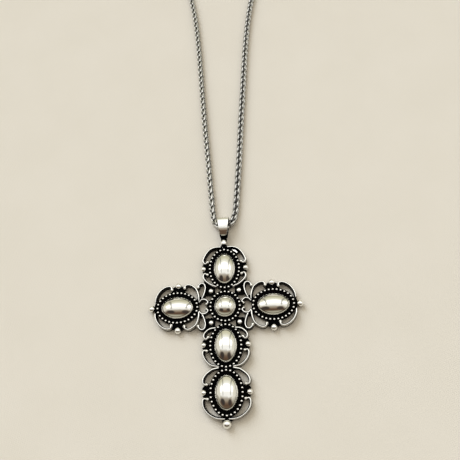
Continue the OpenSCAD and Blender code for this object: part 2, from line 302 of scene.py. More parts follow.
# ---------------------------------------------------------------- mesh helpers
def blend4(a, b, c, d, t):
    return 0.5 * (2 * b + (c - a) * t + (2 * a - 5 * b + 4 * c - d) * t * t + (3 * b - a - 3 * c + d) * t ** 3)


def smooth_run(points, step, closed=False):
    """Smooth curve through the points, with samples about step mm apart."""
    p = np.array(points, float)
    m = len(p) if closed else len(p) - 1
    out = []
    for i in range(m):
        if closed:
            a, b, c, d = p[i - 1], p[i], p[(i + 1) % len(p)], p[(i + 2) % len(p)]
        else:
            a = p[i - 1] if i else 2 * p[0] - p[1]
            b, c = p[i], p[i + 1]
            d = p[i + 2] if i < m - 1 else 2 * p[m] - p[m - 1]
        n = max(2, int(math.ceil(np.linalg.norm(c - b) / step)))
        out += [blend4(a, b, c, d, k / n) for k in range(n)]
    if not closed:
        out.append(p[-1])
    return np.array(out)


def headings(c, closed=False):
    if closed:
        d = np.roll(c, -1, axis=0) - np.roll(c, 1, axis=0)
    else:
        d = np.empty_like(c)
        d[1:-1] = c[2:] - c[:-2]
        d[0], d[-1] = c[1] - c[0], c[-1] - c[-2]
    return d / np.linalg.norm(d, axis=1)[:, None]


class Shell:
    """A closed mesh: points in mm in the drawing frame, and faces as tuples."""

    def __init__(self, verts, faces):
        self.v = np.asarray(verts, float)
        self.f = [tuple(f) for f in faces]
        vol = 0.0
        for f in self.f:
            a = self.v[f[0]]
            for i in range(1, len(f) - 1):
                vol += float(np.dot(a, np.cross(self.v[f[i]], self.v[f[i + 1]])))
        if vol < 0:
            self.f = [f[::-1] for f in self.f]


def tube_faces(rings, k, closed=False):
    """Faces between rings of k points each, with end caps unless the tube is closed."""
    faces = []
    m = rings if closed else rings - 1
    for i in range(m):
        a, b = i * k, ((i + 1) % rings) * k
        for j in range(k):
            n = (j + 1) % k
            faces.append((a + j, a + n, b + n, b + j))
    if not closed:
        faces.append(tuple(range(k))[::-1])
        faces.append(tuple((rings - 1) * k + j for j in range(k)))
    return faces


def prism(outline, z0, z1):
    o = np.asarray(outline, float)
    n = len(o)
    v = np.vstack([np.c_[o, np.full(n, z0)], np.c_[o, np.full(n, z1)]])
    f = [tuple(range(n))[::-1], tuple(range(n, 2 * n))]
    f += [(i, (i + 1) % n, n + (i + 1) % n, n + i) for i in range(n)]
    return Shell(v, f)


def ball(at, r, nu=20, nv=12, scale=(1, 1, 1)):
    v, f = [(0, 0, -1)], []
    for i in range(1, nv):
        a = math.pi * i / nv
        v += [(math.sin(a) * math.cos(2 * math.pi * j / nu), math.sin(a) * math.sin(2 * math.pi * j / nu), -math.cos(a))
              for j in range(nu)]
    v.append((0, 0, 1))
    top = len(v) - 1
    for j in range(nu):
        n = (j + 1) % nu
        f.append((0, 1 + n, 1 + j))
        for i in range(nv - 2):
            f.append((1 + i * nu + j, 1 + i * nu + n, 1 + (i + 1) * nu + n, 1 + (i + 1) * nu + j))
        f.append((top, 1 + (nv - 2) * nu + j, 1 + (nv - 2) * nu + n))
    return Shell(np.array(v) * r * np.array(scale) + np.array(at), f)


def lathe_z(profile, at, nu=48, waves=0, amp=0.0):
    """Ring turned round an upright axis: profile [(radius, z)] is a closed run."""
    k = len(profile)
    rings = []
    for i in range(nu):
        a = 2 * math.pi * i / nu
        for r, z in profile:
            rings.append((at[0] + r * math.cos(a), at[1] + r * math.sin(a), at[2] + z))
    return Shell(rings, tube_faces(nu, k, closed=True))


def torus(at, r, wire, axis, nu=64, nv=20):
    """axis is the unit direction of the ring's own axis."""
    axis = np.array(axis, float)
    u = np.cross(axis, [0, 0, 1]) if abs(axis[2]) < 0.9 else np.array([1.0, 0, 0])
    u = u / np.linalg.norm(u)
    w = np.cross(axis, u)
    v = []
    for i in range(nu):
        a = 2 * math.pi * i / nu
        d = u * math.cos(a) + w * math.sin(a)
        for j in range(nv):
            b = 2 * math.pi * j / nv
            v.append(np.array(at) + d * (r + wire / 2 * math.cos(b)) + axis * wire / 2 * math.sin(b))
    return Shell(v, tube_faces(nu, nv, closed=True))


def to_mesh(name, shells):
    """One Blender mesh of these shells, in metres in the frame of the part."""
    verts, faces, n = [], [], 0
    for s in shells:
        verts.append((s.v + SHIFT) * MM)
        faces += [tuple(i + n for i in f) for f in s.f]
        n += len(s.v)
    me = bpy.data.meshes.new(name)
    me.from_pydata(np.vstack(verts).tolist(), [], faces)
    me.update()
    return me


def add_object(name, me):
    ob = bpy.data.objects.new(name, me)
    scene.collection.objects.link(ob)
    return ob


def shade(me, angle=35.0):
    """Smooth shading with sharp edges above the angle."""
    bm = bmesh.new()
    bm.from_mesh(me)
    limit = math.radians(angle)
    for f in bm.faces:
        f.smooth = True
    for e in bm.edges:
        e.smooth = len(e.link_faces) == 2 and e.calc_face_angle(0.0) < limit
    bm.to_mesh(me)
    bm.free()


def union(name, shells):
    """The shells as one clean solid."""
    base = add_object(name, to_mesh(name, shells[:1]))
    group = bpy.data.collections.new(name + "_tools")
    scene.collection.children.link(group)
    tools = []
    for i, s in enumerate(shells[1:]):
        t = bpy.data.objects.new("tool%d" % i, to_mesh("tool%d" % i, [s]))
        group.objects.link(t)
        tools.append(t)
    mod = base.modifiers.new("union", "BOOLEAN")
    mod.operation, mod.operand_type, mod.solver = "UNION", "COLLECTION", "MANIFOLD"
    mod.collection = group
    bpy.context.view_layer.update()
    dg = bpy.context.evaluated_depsgraph_get()
    made = bpy.data.meshes.new_from_object(base.evaluated_get(dg))
    base.modifiers.clear()
    for t in tools:
        me = t.data
        bpy.data.objects.remove(t)
        bpy.data.meshes.remove(me)
    bpy.data.collections.remove(group)
    base.data = made
    made.name = name
    made.materials.clear()
    return base


def mm_points(me):
    co = np.empty(len(me.vertices) * 3)
    me.vertices.foreach_get("co", co)
    return co.reshape(-1, 3) / MM - SHIFT


def set_polish_and_painted_light(me, values):
    att = me.attributes.get("polish") or me.attributes.new("polish", "FLOAT", "POINT")
    att.data.foreach_set("value", np.asarray(values, np.float32))


def finish_piece(ob, slot, *nodes):
    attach(ob, "root")
    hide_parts(*nodes)


# ---------------------------------------------------------------- the casting
TOP, CENTRE, LOWER, BOTTOM, ARM_X = (0, 12.2), (0, 0), (0, -12.0), (0, -25.5), 15.0
top_upper = [(0.6, 19.2), (2, 19.2), (3, 19.1), (4, 18.8), (5, 18.1), (5.8, 17.1), (6.5, 15.8), (6.8, 14.8),
             (6.5, 14.0), (6, 13.8), (5.4, 14.3)]
top_lower = [(2.6, 6.1), (4, 6.6), (5, 7.2), (6, 8.1), (6.6, 9.0), (6.7, 9.7), (6.3, 10.4), (5.5, 10.1)]
lower_upper = [(3, -6.9), (4.5, -7.1), (5.5, -7.6), (6.3, -8.4), (6.6, -9.2), (6.4, -9.9), (5.9, -10.2), (5.3, -9.6)]
lower_lower = [(2.2, -18.3), (4, -18.0), (5, -17.5), (6, -16.5), (6.6, -15.5), (6.9, -14.4), (6.6, -13.6), (5.8, -13.7)]
bottom_upper = [(2.2, -18.7), (4, -19.1), (5, -19.7), (6, -20.5), (6.7, -21.5), (6.9, -22.5), (6.6, -23.2), (5.8, -23.3)]
bottom_lower = [(0.6, -32.8), (2.2, -32.7), (3.5, -32.4), (5, -31.6), (6.2, -30.4), (6.8, -29.2), (6.9, -28.0),
                (6.6, -27.3), (5.6, -27.4)]
arm_inner = [(8.2, 1.8), (8.3, 3.2), (8.6, 4.5), (9.2, 5.7), (10.3, 6.6), (11.4, 7.0), (12.3, 6.8), (12.7, 6.0)]
arm_outer = [(21.9, 1.8), (21.7, 3.2), (21.1, 4.5), (20.2, 5.6), (19, 6.4), (17.8, 6.7), (17, 6.4), (16.8, 5.6)]
wing = [(7.2, 2.4), (6.7, 3.4), (6.3, 4.6), (6.1, 5.8), (6.4, 6.9), (7.2, 7.3), (8, 6.9), (8.4, 6.1)]
heart = [(8.1, 1.4), (7.4, 2.1), (6.6, 2.3), (5.8, 2), (5.3, 1.3), (5.8, 0.8)]
side_land = [(4.6, -1.7), (6.6, -1.7), (7.2, -0.6), (7.3, 1.0), (6.7, 2.0), (4.6, 2.2)]
stud_land = [(3.0, 3.9), (3.7, 3.5), (6.6, 3.6), (6.1, 5.5), (6.7, 7.6), (6.6, 8.6), (3.0, 6.7), (3.3, 5.4)]
wing_foot = [(6.9, 2.4), (8.0, 0.9), (8.9, 0.9), (8.9, 2.5), (8.3, 3.4), (7.6, 3.3), (7.1, 3.1)]
heart_land = [(4.8, -2.0), (5.5, -2.0), (5.5, 2.0), (4.8, 2.0)]
arm_land = [(12.6, 3.8), (17, 3.8), (16.9, 6.1), (16.0, 7.0), (13.5, 7.0), (12.7, 6.2)]
end_land = [(20.9, -2), (22.2, -1.6), (22.4, 0), (22.2, 1.6), (20.9, 2)]
head_web = [(1.8, 18.3), (1.9, 19.0), (3.0, 19.0), (4.1, 18.6), (4.95, 17.95), (4.4, 17.4), (3.7, 16.6), (2.6, 17.4)]

PLATE_Z = 1.3
WIRE_SHIFT = 0.15
HALF = 0.32
# A wire in section: [across, height]. Its sides are nearly upright and its crown is round.
WIRE = [(-0.44, 0.0), (-0.40, 0.5), (-0.36, 1.1), (-0.33, 1.6), (-0.31, 1.90)]
WIRE += [(-0.30 * math.cos(math.radians(a)), 1.98 + 0.30 * math.sin(math.radians(a))) for a in range(0, 181, 15)]
WIRE += [(-a, z) for a, z in WIRE[4::-1]]


def flip(points, fx=1, fy=1, at=(0, 0)):
    return [(at[0] + fx * x, at[1] + fy * y) for x, y in points]


def all_wires():
    """Each scroll wire as (run of points, middle of the unit that it goes round, which sides are polished)."""
    out = []
    for fx in (1, -1):
        for run, unit in ((top_upper, TOP), (top_lower, TOP), (lower_upper, LOWER), (lower_lower, LOWER),
                          (bottom_upper, BOTTOM), (bottom_lower, BOTTOM)):
            out.append((flip(run, fx), unit, 1))
        for fy in (1, -1):
            for run in (arm_inner, arm_outer):
                out.append((flip(run, fx, fy), (fx * ARM_X, 0), 1))
            out.append((flip(wing, fx, fy), (fx * 8.5, fy * 4.5), 0))
            out.append((flip(heart, fx, fy), (fx * 6.8, 0), 0))
    return [([(x, y + (0.0 if len(run) == len(heart) else WIRE_SHIFT)) for x, y in run], unit, sides) for run, unit, sides in out]


def wire_shell(run, curl):
    c = smooth_run(run, 0.2)
    d = headings(c)
    n = np.c_[-d[:, 1], d[:, 0]]
    s = np.r_[0, np.cumsum(np.linalg.norm(np.diff(c, axis=0), axis=1))]
    total = s[-1]
    wide = np.interp(s, [0, 0.6, total - 1.6, total], [0.9, 1.0, 1.0, 0.86])
    high = np.interp(s, [0, 1.2], [0.92, 1.0])
    v = []
    for i in range(len(c)):
        for a, z in WIRE:
            v.append((c[i, 0] + n[i, 0] * a * wide[i], c[i, 1] + n[i, 1] * a * wide[i], z * high[i]))
    shell = Shell(v, tube_faces(len(c), len(WIRE)))
    end = c[-1]
    k, rings = 24, []
    for r, z in [(curl, 0.0), (curl, 1.72)] + [(curl * math.cos(math.radians(a)), 1.72 + curl * 1.08 * math.sin(math.radians(a)))
                                                for a in (15, 30, 45, 60, 75)]:
        rings.append([(end[0] + r * math.cos(2 * math.pi * j / k), end[1] + r * math.sin(2 * math.pi * j / k), z) for j in range(k)])
    rings.append([(end[0] + 0.02 * math.cos(2 * math.pi * j / k), end[1] + 0.02 * math.sin(2 * math.pi * j / k), 1.72 + curl * 1.08)
                  for j in range(k)])
    blob = Shell(np.array(rings).reshape(-1, 3), tube_faces(len(rings), k))
    return shell, blob, c, n, high


def round_outline(points, times=2):
    """Corner cutting: rounds an outline's corners."""
    p = np.array(points, float)
    for _ in range(times):
        q = np.roll(p, -1, axis=0)
        p = np.stack([0.8 * p + 0.2 * q, 0.2 * p + 0.8 * q], axis=1).reshape(-1, 2)
    return p


def oval(at, a, b, n=112):
    t = np.linspace(0, 2 * math.pi, n, endpoint=False)
    return np.c_[at[0] + a * np.cos(t), at[1] + b * np.sin(t)]


# the six units: middle, half width and half length of the bead rim, of the bezel and of the dome, beads
UNITS = {
    "top": (TOP, (4.7, 6.3), (3.45, 5.05), 28), "centre": (CENTRE, (4.6, 4.6), (3.45, 3.45), 24),
    "lower": (LOWER, (4.7, 6.3), (3.45, 5.05), 28), "bottom": (BOTTOM, (4.7, 6.3), (3.45, 5.05), 28),
    "left": ((-ARM_X, 0), (6.3, 4.7), (5.05, 3.45), 28), "right": ((ARM_X, 0), (6.3, 4.7), (5.05, 3.45), 28)}


def bead_places(at, half, count):
    """Points at equal steps along the oval, with one on each axis."""
    t = np.linspace(0, 2 * math.pi, 4001)
    x, y = half[0] * np.cos(t), half[1] * np.sin(t)
    s = np.r_[0, np.cumsum(np.hypot(np.diff(x), np.diff(y)))]
    want = np.arange(count) * s[-1] / count
    tt = np.interp(want, s, t)
    return np.c_[at[0] + half[0] * np.cos(tt), at[1] + half[1] * np.sin(tt)]


def bezel_shell(at, half, scallops):
    """Wall with a sloping lip pressed in over the dome and a finely scalloped outer edge."""
    k = [(0.0, 0.9), (0.0, 1.72), (-0.02, 1.93), (-0.06, 2.04), (-0.13, 2.12), (-0.24, 2.23), (-0.36, 2.35), (-0.44, 2.42),
         (-0.48, 2.445), (-0.505, 2.42), (-0.50, 2.37), (-0.38, 2.30), (-0.27, 2.18), (-0.235, 2.06), (-0.235, 0.9)]
    lift = [0, 0.5, 1.0, 1.0, 0.8, 0.3, 0, 0, 0, 0, 0, 0, 0, 0, 0]
    per = 4
    n = scallops * per
    t = np.linspace(0, 2 * math.pi, 4001)
    x, y = half[0] * np.cos(t), half[1] * np.sin(t)
    s = np.r_[0, np.cumsum(np.hypot(np.diff(x), np.diff(y)))]
    tt = np.interp(np.arange(n) * s[-1] / n, s, t)
    v = []
    for i, a in enumerate(tt):
        nx, ny = math.cos(a) * half[1], math.sin(a) * half[0]
        m = math.hypot(nx, ny)
        nx, ny = nx / m, ny / m
        wave = -0.05 if i % per == 0 else 0.0
        for (o, z), u in zip(k, lift):
            v.append((at[0] + half[0] * math.cos(a) + nx * (o + 0.9 * wave * u), at[1] + half[1] * math.sin(a) + ny * (o + 0.9 * wave * u),
                      z + wave * u))
    return Shell(v, tube_faces(n, len(k), closed=True))


BALLS = []      # [middle, radius, kind]
for sx in (-1, 1):
    for by in (12.3, -11.7, -25.4):
        BALLS.append(((sx * 6.75, by, 1.2), 0.9, "side"))
    for sy in (-1, 1):
        BALLS.append(((sx * 14.8, sy * 7.0, 1.2), 1.05, "arm"))
        BALLS.append(((sx * 4.45, sy * 5.0, 1.38), 0.76, "stud"))
    BALLS.append(((sx * 23.15, 0, 1.2), 1.05, "end"))
BALLS.append(((0, -34.0, 1.35), 1.3, "foot"))


def build_casting():
    shells, lines, beads = [], [], []
    for at, rim, bez, count in UNITS.values():
        shells.append(prism(oval(at, rim[0] + 0.52, rim[1] + 0.52), 0.0, PLATE_Z))
    for fx in (1, -1):
        for u in (TOP, LOWER, BOTTOM):
            shells.append(prism(round_outline(flip(side_land, fx, 1, u)), 0.0, PLATE_Z))
        for fy in (1, -1):
            for p in (stud_land, wing_foot, arm_land):
                shells.append(prism(round_outline(flip(p, fx, fy)), 0.0, PLATE_Z))
        shells.append(prism(round_outline(flip(heart_land, fx)), 0.0, PLATE_Z))
        shells.append(prism(round_outline(flip(end_land, fx)), 0.0, PLATE_Z))
    for x, y, w, h in ((0, -32.3, 3, 2), (0, 18.425, 2.4, 1.05), (-0.89, 18.8, 0.62, 1.0), (0.89, 18.8, 0.62, 1.0),
                       (0, 5.25, 2.6, 0.9), (0, -18.6, 5, 1.2)):
        shells.append(prism([(x - w / 2, y - h / 2), (x + w / 2, y - h / 2), (x + w / 2, y + h / 2), (x - w / 2, y + h / 2)],
                            0.0, PLATE_Z))
    shells.append(prism(round_outline(head_web), 0.0, PLATE_Z))
    c33, s33 = math.cos(math.radians(-33)), math.sin(math.radians(-33))
    shells.append(prism([(3.5 + a * c33 - b * s33, 17.92 + a * s33 + b * c33)
                         for a, b in ((-1, -0.12), (0.9, -0.24), (0.95, 0.1), (0.1, 0.34), (-0.4, 0.2))], 0.5, 1.86))
    for run, unit, sides in all_wires():
        w, blob, c, n, high = wire_shell(run, 0.44 if len(run) == len(heart) else 0.53)
        shells += [w, blob]
        mid = len(c) // 2
        out = 1.0 if np.dot(c[mid] - np.array(unit), n[mid]) > 0 else -1.0
        lines.append((c, n * out, sides, high))
    for at, rim, bez, count in UNITS.values():
        for p in bead_places(at, rim, count):
            beads.append((p[0], p[1], 1.45))
            shells.append(ball((p[0], p[1], 1.45), 0.45, 16, 12))
        shells.append(bezel_shell(at, bez, 48 if bez[0] != bez[1] else 38))
    for at, r, kind in BALLS:
        shells.append(ball(at, r, 32, 20, (1, 1, 0.58) if kind == "stud" else (1, 1, 1)))
    shells.append(torus((0, 19.5, 1.6), 0.8, 0.54, (0, 0, 1), 48, 16))
    ob = union("cross_casting", shells)
    me = ob.data
    set_corner_polish_and_painted_light(me, lines, beads)
    me.materials.append(mat_cast)
    shade(me, 32)
    finish_piece(ob, "oxidised_silver", "cross_frame")
    return ob


def set_corner_polish_and_painted_light(me, lines, beads):
    """How polished each corner of each face is, partly painted light: crowns and the tops of beads and balls bright,
    outer walls half bright, the plate and inner walls black oxide, and the lower parts of beads, balls and wire ends
    painted black as painted shade.
    """
    nl, nf = len(me.loops), len(me.polygons)
    vi = np.empty(nl, np.int32)
    me.loops.foreach_get("vertex_index", vi)
    total = np.empty(nf, np.int32)
    me.polygons.foreach_get("loop_total", total)
    face = np.repeat(np.arange(nf), total)
    normal = np.empty(nf * 3)
    me.polygons.foreach_get("normal", normal)
    normal = normal.reshape(-1, 3)
    centre = np.empty(nf * 3)
    me.polygons.foreach_get("center", centre)
    centre = centre.reshape(-1, 3) / MM - SHIFT
    pts = mm_points(me)
    xy = np.vstack([l[0] for l in lines])
    nn = np.vstack([l[1] for l in lines])
    sd = np.concatenate([np.full(len(l[0]), l[2]) for l in lines])
    hi = np.concatenate([l[3] for l in lines])
    ends = np.array([l[0][-1] for l in lines])

    def nearest(q):
        index = np.empty(len(q), int)
        for i0 in range(0, len(q), 4000):
            d = q[i0:i0 + 4000, None, :2] - xy[None]
            index[i0:i0 + 4000] = (d ** 2).sum(2).argmin(1)
        return index

    j = nearest(pts)
    dd = pts[:, :2] - xy[j]
    dist = np.hypot(dd[:, 0], dd[:, 1])
    # the face's own side of the wire, by its normal
    facing = (normal[:, :2] * nn[nearest(centre)]).sum(1)
    p = pts[vi]
    # painted highlight: only a narrow band along the crown is bright, set a little towards the outer side of the wire
    u = (dd * nn[j]).sum(1)[vi]
    crown = np.where(sd[j][vi] == 1, np.interp(u, [-0.12, -0.02, 0.13, 0.24], [0, 1, 1, 0.25]),
                     np.interp(u, [-0.18, -0.08, 0.05, 0.14], [0, 1, 1, 0]))
    crown = np.where(p[:, 2] / hi[j][vi] > 2.1, crown, 0)
    # outer walls half bright, their grey partly painted shade; inner walls are left black
    wall = np.where((facing[face] > 0.3) & (sd[j][vi] == 1), np.interp(p[:, 2], [0.2, 0.9, 1.8, 2.15], [0.30, 0.47, 0.50, 0.50]), 0)
    polish = np.where(dist[vi] < 0.46, np.maximum(crown, wall), 0)
    # the round ends of the wires: only their tops are made bright; beneath they stay dark, partly painted shade
    tip = np.sqrt(((pts[:, None, :2] - ends[None]) ** 2).sum(2)).min(1) < 0.545
    polish = np.where(tip[vi], np.maximum(polish, np.interp(p[:, 2], [1.80, 1.90], [0, 1])), polish)
    # beads: only the top cap is bright; the lower part is painted black as painted shade, where the metal mirrors dark
    # surroundings
    b = np.array(beads)
    near = np.empty(len(pts))
    for i0 in range(0, len(pts), 20000):
        q = pts[i0:i0 + 20000]
        near[i0:i0 + 20000] = np.linalg.norm(q[:, None, :] - b[None], axis=2).min(1)
    polish = np.where(near[vi] < 0.47, np.interp(p[:, 2], [1.79, 1.855], [0, 1]), polish)
    # balls: bright on top and towards the outside, painted black beneath as painted shade
    for at, r, kind in BALLS:
        rel = (p - np.array(at)) / (r * np.array([1, 1, 0.58 if kind == "stud" else 1]))
        on = np.linalg.norm(rel, axis=1) < 1.04
        if kind == "stud":
            value = np.interp(p[:, 2], [1.46, 1.55], [0, 1])
        else:
            way = np.array(at[:2]) - np.array({"side": (0, at[1]), "arm": (at[0], 0), "end": (0, 0), "foot": (0, -25.5)}[kind])
            way = way / np.linalg.norm(way)
            value = np.interp(rel[:, 2] * 0.85 + 0.52 * (rel[:, :2] @ way), [-0.05, 0.25], [0, 1])
        polish = np.where(on, value, polish)
    # bezels
    for at, rim, bez, count in UNITS.values():
        e = np.hypot((p[:, 0] - at[0]) / bez[0], (p[:, 1] - at[1]) / bez[1])
        on = (e < 1.004) & (e > 0.84) & (p[:, 2] > PLATE_Z + 0.02)
        way = (centre[:, :2] - np.array(at)) / np.array([bez[0] ** 2, bez[1] ** 2])
        way /= np.linalg.norm(way, axis=1)[:, None]
        inward = (normal[:, :2] * way).sum(1) < -0.3
        value = np.where(inward[face], 0.0, np.interp(p[:, 2], [1.80, 1.94], [0.0, 1.0]))
        polish = np.where(on, value, polish)
    # the head's loop, the plate's top and edges, and the plain back
    head = (np.hypot(p[:, 0], p[:, 1] - 19.5) < 1.16) & (p[:, 2] > 1.0) & (near[vi] >= 0.47)
    polish = np.where(head, 0.0, polish)
    web = (np.abs(centre[:, 2] - 1.86) < 0.005) & (normal[:, 2] > 0.99) & (np.hypot(centre[:, 0] - 3.5, centre[:, 1] - 17.92) < 1.2)
    polish = np.where(web[face], 1.0, polish)
    flat = (np.abs(centre[:, 2] - PLATE_Z) < 0.005) & (normal[:, 2] > 0.99)
    polish = np.where(flat[face], 0.0, polish)
    polish = np.where((centre[:, 2] < 0.005)[face], 0.75, polish)
    att = me.attributes.new("polish", "FLOAT", "CORNER")
    att.data.foreach_set("value", np.asarray(polish, np.float32))


casting = build_casting()
print("casting faces", len(casting.data.polygons), "verts", len(casting.data.vertices))


# ---------------------------------------------------------------- the domes
def dome_profile(h=2.8, steepest=3.0):
    """Height of a pressed dome over its rim against the share of its half width: round on top, an even slope at its edge."""
    q = np.linspace(0, 1, 801)
    e = h * q / np.sqrt(np.maximum(1e-9, 1 - q ** 2))
    slope = e / (1 + (e / steepest) ** 4) ** 0.25
    drop = np.r_[0, np.cumsum(0.5 * (slope[1:] + slope[:-1]) * np.diff(q))]
    return q, drop[-1] - drop


def build_dome(name, at, a, b, node):
    nu, nv, rim = 144, 40, 2.12
    q0, z0 = dome_profile()
    v = []
    for r, z in ((0.985, 1.46), (0.998, 1.75), (1.0, rim - 0.03)):
        v += [(at[0] + a * r * math.cos(2 * math.pi * j / nu), at[1] + b * r * math.sin(2 * math.pi * j / nu), z) for j in range(nu)]
    for i in range(nv):
        q = math.sin(0.5 * math.pi * (1 - i / nv)) if i else 0.998
        z = rim + float(np.interp(q, q0, z0))
        v += [(at[0] + a * q * math.cos(2 * math.pi * j / nu), at[1] + b * q * math.sin(2 * math.pi * j / nu), z) for j in range(nu)]
    v.append((at[0], at[1], rim + float(z0[0])))
    rows = nv + 3
    f = tube_faces(rows, nu)[:-1]
    f += [((rows - 1) * nu + j, (rows - 1) * nu + (j + 1) % nu, rows * nu) for j in range(nu)]
    me = to_mesh(name, [Shell(v, f)])
    ob = add_object(name, me)
    me.materials.append(mat_dome)
    shade(me, 50)
    finish_piece(ob, "dome_metal", node)


for key, (at, rim, bez, count) in UNITS.items():
    build_dome("dome_" + key, at, bez[0] - 0.27, bez[1] - 0.27, "cab_" + key)


# ---------------------------------------------------------------- jump ring and bail
def build_ring():
    """The jump ring: a vertical ring whose wire broadens to a knuckle at its top."""
    nu, nv, v = 96, 28, []
    for i in range(nu):
        a = 2 * math.pi * i / nu          # 0 is north, a quarter turn is the top
        broad = 0.45 + 0.37 * max(0.0, math.sin(a)) ** 3
        for j in range(nv):
            b = 2 * math.pi * j / nv
            r = 1.1 + 0.45 * math.cos(b)
            v.append((broad * math.sin(b), 20.6 + r * math.cos(a), 1.6 + r * math.sin(a)))
    me = to_mesh("jump_ring_wire", [Shell(v, tube_faces(nu, nv, closed=True))])
    ob = add_object("jump_ring_wire", me)
    me.materials.append(mat_bail)
    pts = mm_points(me)
    # painted highlight and shade: only the top of the ring, on its north side, is bright; the rest is painted black
    set_polish_and_painted_light(me, np.interp(pts[:, 2], [2.55, 2.8], [0.0, 1.0]) * np.interp(pts[:, 1], [19.8, 20.2], [0.0, 1.0]))
    shade(me, 60)
    finish_piece(ob, "bright_silver", "jump_ring")


build_ring()

STRAP = [(22.9, 1.5), (23.8, 0.72), (24.8, 0.34), (26, 0.29), (27.75, 0.29), (28.95, 0.52), (29.32, 1.4), (29.32, 2.75),
         (28.85, 3.84), (28.1, 4.38), (26.8, 4.52), (25.6, 4.40), (24.65, 4.02), (23.9, 3.42), (23.25, 2.82), (22.95, 2.1)]


def bail_half(y):
    return float(np.interp(y, [20.8, 21.1, 21.7, 22.4, 23.0, 29.0, 29.6], [0.5, 0.8, 0.95, 0.98, 1.2, 1.9, 1.9]))


def build_bail():
    c = smooth_run(STRAP, 0.16)
    d = headings(c)
    n = np.c_[d[:, 1], -d[:, 0]]
    mid = c.mean(0)
    if np.dot(c[len(c) // 2] - mid, n[len(c) // 2]) < 0:
        n = -n
    t, r = 0.21, 0.11
    v = []
    k = 0
    for i in range(len(c)):
        w = bail_half(c[i, 0])
        ring = []
        for cx, cz, a0 in ((w - r, t - r, 0), (-(w - r), t - r, 90), (-(w - r), -(t - r), 180), (w - r, -(t - r), 270)):
            for a in (0, 22.5, 45, 67.5, 90):
                ring.append((cx + r * math.cos(math.radians(a0 + a)), cz + r * math.sin(math.radians(a0 + a))))
            if a0 == 0:      # crowned outer face
                ring += [(q * (w - r), t + 0.05 * (1 - q * q)) for q in (0.75, 0.5, 0.25, 0.0, -0.25, -0.5, -0.75)]
        k = len(ring)
        for a, b in ring:
            v.append((a, c[i, 0] + n[i, 0] * b, c[i, 1] + n[i, 1] * b))
    strap = Shell(v, tube_faces(len(c), k))
    half = [(0.5, 20.9), (0.8, 21.15), (0.95, 21.7), (0.95, 22.4), (1.05, 23.1)]
    foot = prism(round_outline(half + [(-x, y) for x, y in half[::-1]], 2), 1.38, 1.84)
    ob = union("bail_strap", [strap, foot])
    # the eye that the jump ring goes through
    cut = add_object("eye_cut", to_mesh("eye_cut", [prism(oval((0, 21.7), 0.53, 0.53, 40), 0.8, 2.6)]))
    mod = ob.modifiers.new("eye", "BOOLEAN")
    mod.operation, mod.solver, mod.object = "DIFFERENCE", "MANIFOLD", cut
    bpy.context.view_layer.update()
    made = bpy.data.meshes.new_from_object(ob.evaluated_get(bpy.context.evaluated_depsgraph_get()))
    ob.modifiers.clear()
    ob.data = made
    bpy.data.objects.remove(cut)
    made.materials.clear()
    made.materials.append(mat_bail)
    pts = mm_points(made)
    # painted shade: the foot of the bail is painted black and the strap turns bright only above it
    black = np.interp(pts[:, 1], [22.85, 23.05, 23.4, 24.2], [0.0, 0.60, 0.85, 1.0])
    # painted shade: the lower half is darker towards its sides
    share = np.abs(pts[:, 0]) / np.interp(pts[:, 1], [23.0, 29.0], [1.2, 1.9])
    black = black * (1 - np.interp(pts[:, 1], [24.3, 25.0], [0.45, 0.0]) * np.interp(share, [0.25, 0.8], [0.0, 1.0]))
    # the inside of the strap is left dark
    yz = pts[:, 1:]
    d = yz[:, None, :] - c[None]
    i = (d ** 2).sum(2).argmin(1)
    inside = ((yz - c[i]) * n[i]).sum(1) < -0.05
    set_polish_and_painted_light(made, np.where(inside, 0.40, 1.0) * black)
    shade(made, 32)
    finish_piece(ob, "bright_silver", "bail")


build_bail()

# ---------------------------------------------------------------- the chain
Z0 = 1.04
RIGHT_SIDE = [(3.6, 233.2, 1.5), (6.5, 233.1, 1.5), (13, 231.8, 1.1), (19.8, 228, Z0), (25.5, 221.2, Z0), (28.2, 211.5, Z0),
              (28.6, 200, Z0), (27.1, 187, Z0), (24.2, 174, Z0), (20.6, 160, Z0), (17, 146, Z0), (13.9, 132, Z0),
              (11.6, 119, Z0), (9.9, 105, Z0), (8.8, 92, Z0), (7.8, 79, Z0), (6.8, 66, Z0), (5.9, 53, Z0), (5, 42, Z0),
              (4.5, 36, Z0), (4.1, 32.5, Z0), (3.6, 30.2, 1.1), (2.8, 28.2, 1.5)]
MIDDLE = [(1.5, 27.1, 1.6), (0.2, 26.8, 1.6), (-1.2, 26.9, 1.6)]
LEFT_SIDE = [(-2.4, 27.6, 1.5), (-3.2, 29.4, 1.1), (-3.6, 32, Z0), (-3.9, 35.5, Z0), (-4.4, 42, Z0), (-5.2, 53, Z0),
             (-6.2, 66, Z0), (-7.1, 79, Z0), (-7.9, 92, Z0), (-8.8, 105, Z0), (-10.2, 119, Z0), (-12.4, 132, Z0),
             (-15.8, 146, Z0), (-19.6, 160, Z0), (-23.3, 174, Z0), (-26.3, 187, Z0), (-27.8, 200, Z0), (-27.4, 211.5, Z0),
             (-24.7, 221.2, Z0), (-19, 228, Z0), (-12.2, 231.8, 1.1), (-5.7, 233.1, 1.5), (-2.8, 233.2, 1.5)]
PITCH = 1.24        # from one link to the next; each is turned a quarter against the one before
LINK = [(1.40, 0.66, 0.0), (1.16, 0.65, 0.22), (0.54, 0.60, 0.37), (-0.12, 0.50, 0.46), (-0.74, 0.28, 0.46), (-1.08, 0.0, 0.38),
        (-0.74, -0.28, 0.46), (-0.12, -0.50, 0.46), (0.54, -0.60, 0.37), (1.16, -0.65, 0.22), (1.40, -0.66, 0.0),
        (1.16, -0.65, -0.22), (0.54, -0.60, -0.37), (-0.12, -0.50, -0.46), (-0.74, -0.28, -0.46), (-1.08, 0.0, -0.38),
        (-0.74, 0.28, -0.46), (-0.12, 0.50, -0.46), (0.54, 0.60, -0.37), (1.16, 0.65, -0.22)]
LINK_WIRE = 0.66


